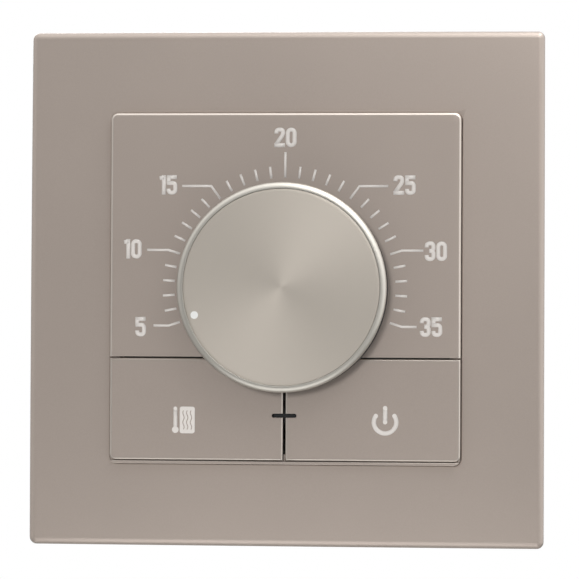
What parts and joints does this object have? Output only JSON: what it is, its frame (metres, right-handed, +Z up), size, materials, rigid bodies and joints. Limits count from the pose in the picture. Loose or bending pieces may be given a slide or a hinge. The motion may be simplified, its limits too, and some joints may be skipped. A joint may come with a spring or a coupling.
{
  "type": "flush wall thermostat",
  "caption": "Flush-mounted room thermostat with a turning temperature dial, rocking keys for heating and power, and a square cover frame.",
  "frame": {"origin": "centre of the mounting plate's back face, on the wall plane and on the dial axis", "axes": "+Z up, front faces -Y, +X to the right seen from the room"},
  "size_m": [0.081, 0.0423, 0.081],
  "materials": {
    "painted_shell": "satin champagne metallic paint",
    "dial_metal": "fine spun, warm lacquer",
    "white_dot": "smooth",
    "dark_plastic": "fine moulded",
    "grey_plastic": "fine moulded",
    "light_plastic": "fine moulded",
    "smoked_clear": "smoked clear",
    "zinc_steel": "zinc plated",
    "spring_steel": "bright",
    "brass": "turned",
    "tin": "tinned",
    "board_green": "solder resist",
    "chip_black": "moulded",
    "relay_blue": "moulded",
    "cap_yellow": "smooth",
    "disc_red": "lacquer",
    "fuse_body": "smooth",
    "aluminium_can": "drawn",
    "carbon_track": "carbon film"
  },
  "bodies": {
    "base": {"cover_frame": "painted_shell", "fascia": "painted_shell", "fascia_screw": "zinc_steel", "front_carrier": "grey_plastic", "light_guide": "smoked_clear", "mounting_plate": "zinc_steel", "rear_housing": "light_plastic", "housing_screws": "zinc_steel", "control_board": "board_green", "power_board": "board_green", "board_screws": "zinc_steel", "header_body": "chip_black", "header_pins": "brass", "pot_housing": "dark_plastic", "pot_track": "carbon_track", "pot_terminals": "tin", "heat_switch_body": "chip_black", "power_switch_body": "chip_black", "heat_switch_cover": "spring_steel", "power_switch_cover": "spring_steel", "switch_domes": "spring_steel", "status_led": "white_dot", "controller_chip": "chip_black", "chip_leads": "tin", "air_sensor": "chip_black", "smd_parts": "chip_black", "relay_case": "relay_blue", "relay_pins": "tin", "dropper_capacitor": "cap_yellow", "smoothing_capacitor": "aluminium_can", "fuse": "fuse_body", "varistor": "disc_red", "terminal_block": "grey_plastic", "terminal_cages": "brass", "terminal_screws": "zinc_steel"},
    "dial": {"knob_cap": "dial_metal", "knob_disc": "dial_metal", "pointer_dot": "white_dot", "knob_clip": "spring_steel", "pot_shaft": "aluminium_can", "pot_wiper": "spring_steel"},
    "heat_key_body": {"heat_key": "painted_shell"},
    "power_key_body": {"power_key": "painted_shell"},
    "heat_plunger_body": {"heat_plunger": "chip_black"},
    "power_plunger_body": {"power_plunger": "chip_black"}
  },
  "joints": [
    {"name": "dial_turn", "type": "hinge", "parent": "base", "child": "dial", "pos_m": [0, 0, 0], "axis": [0, 1, 0], "range_deg": [0, 216]},
    {"name": "heat_key_press", "type": "hinge", "parent": "base", "child": "heat_key_body", "pos_m": [0, -0.007, -0.0125], "axis": [1, 0, 0], "range_deg": [0, 2], "stiffness_Nm_per_rad": 0.3, "springref_deg": -0.57},
    {"name": "power_key_press", "type": "hinge", "parent": "base", "child": "power_key_body", "pos_m": [0, -0.007, -0.0125], "axis": [1, 0, 0], "range_deg": [0, 2], "stiffness_Nm_per_rad": 0.3, "springref_deg": -0.57},
    {"name": "heat_plunger_travel", "type": "slide", "parent": "base", "child": "heat_plunger_body", "axis": [0, 1, 0], "range_m": [0, 0.00026]},
    {"name": "power_plunger_travel", "type": "slide", "parent": "base", "child": "power_plunger_body", "axis": [0, 1, 0], "range_m": [0, 0.00026]}
  ],
  "couplings": [
    {"joint": "heat_plunger_travel", "follows": "heat_key_press", "m_per_rad": 0.0073},
    {"joint": "power_plunger_travel", "follows": "power_key_press", "m_per_rad": 0.0073}
  ]
}
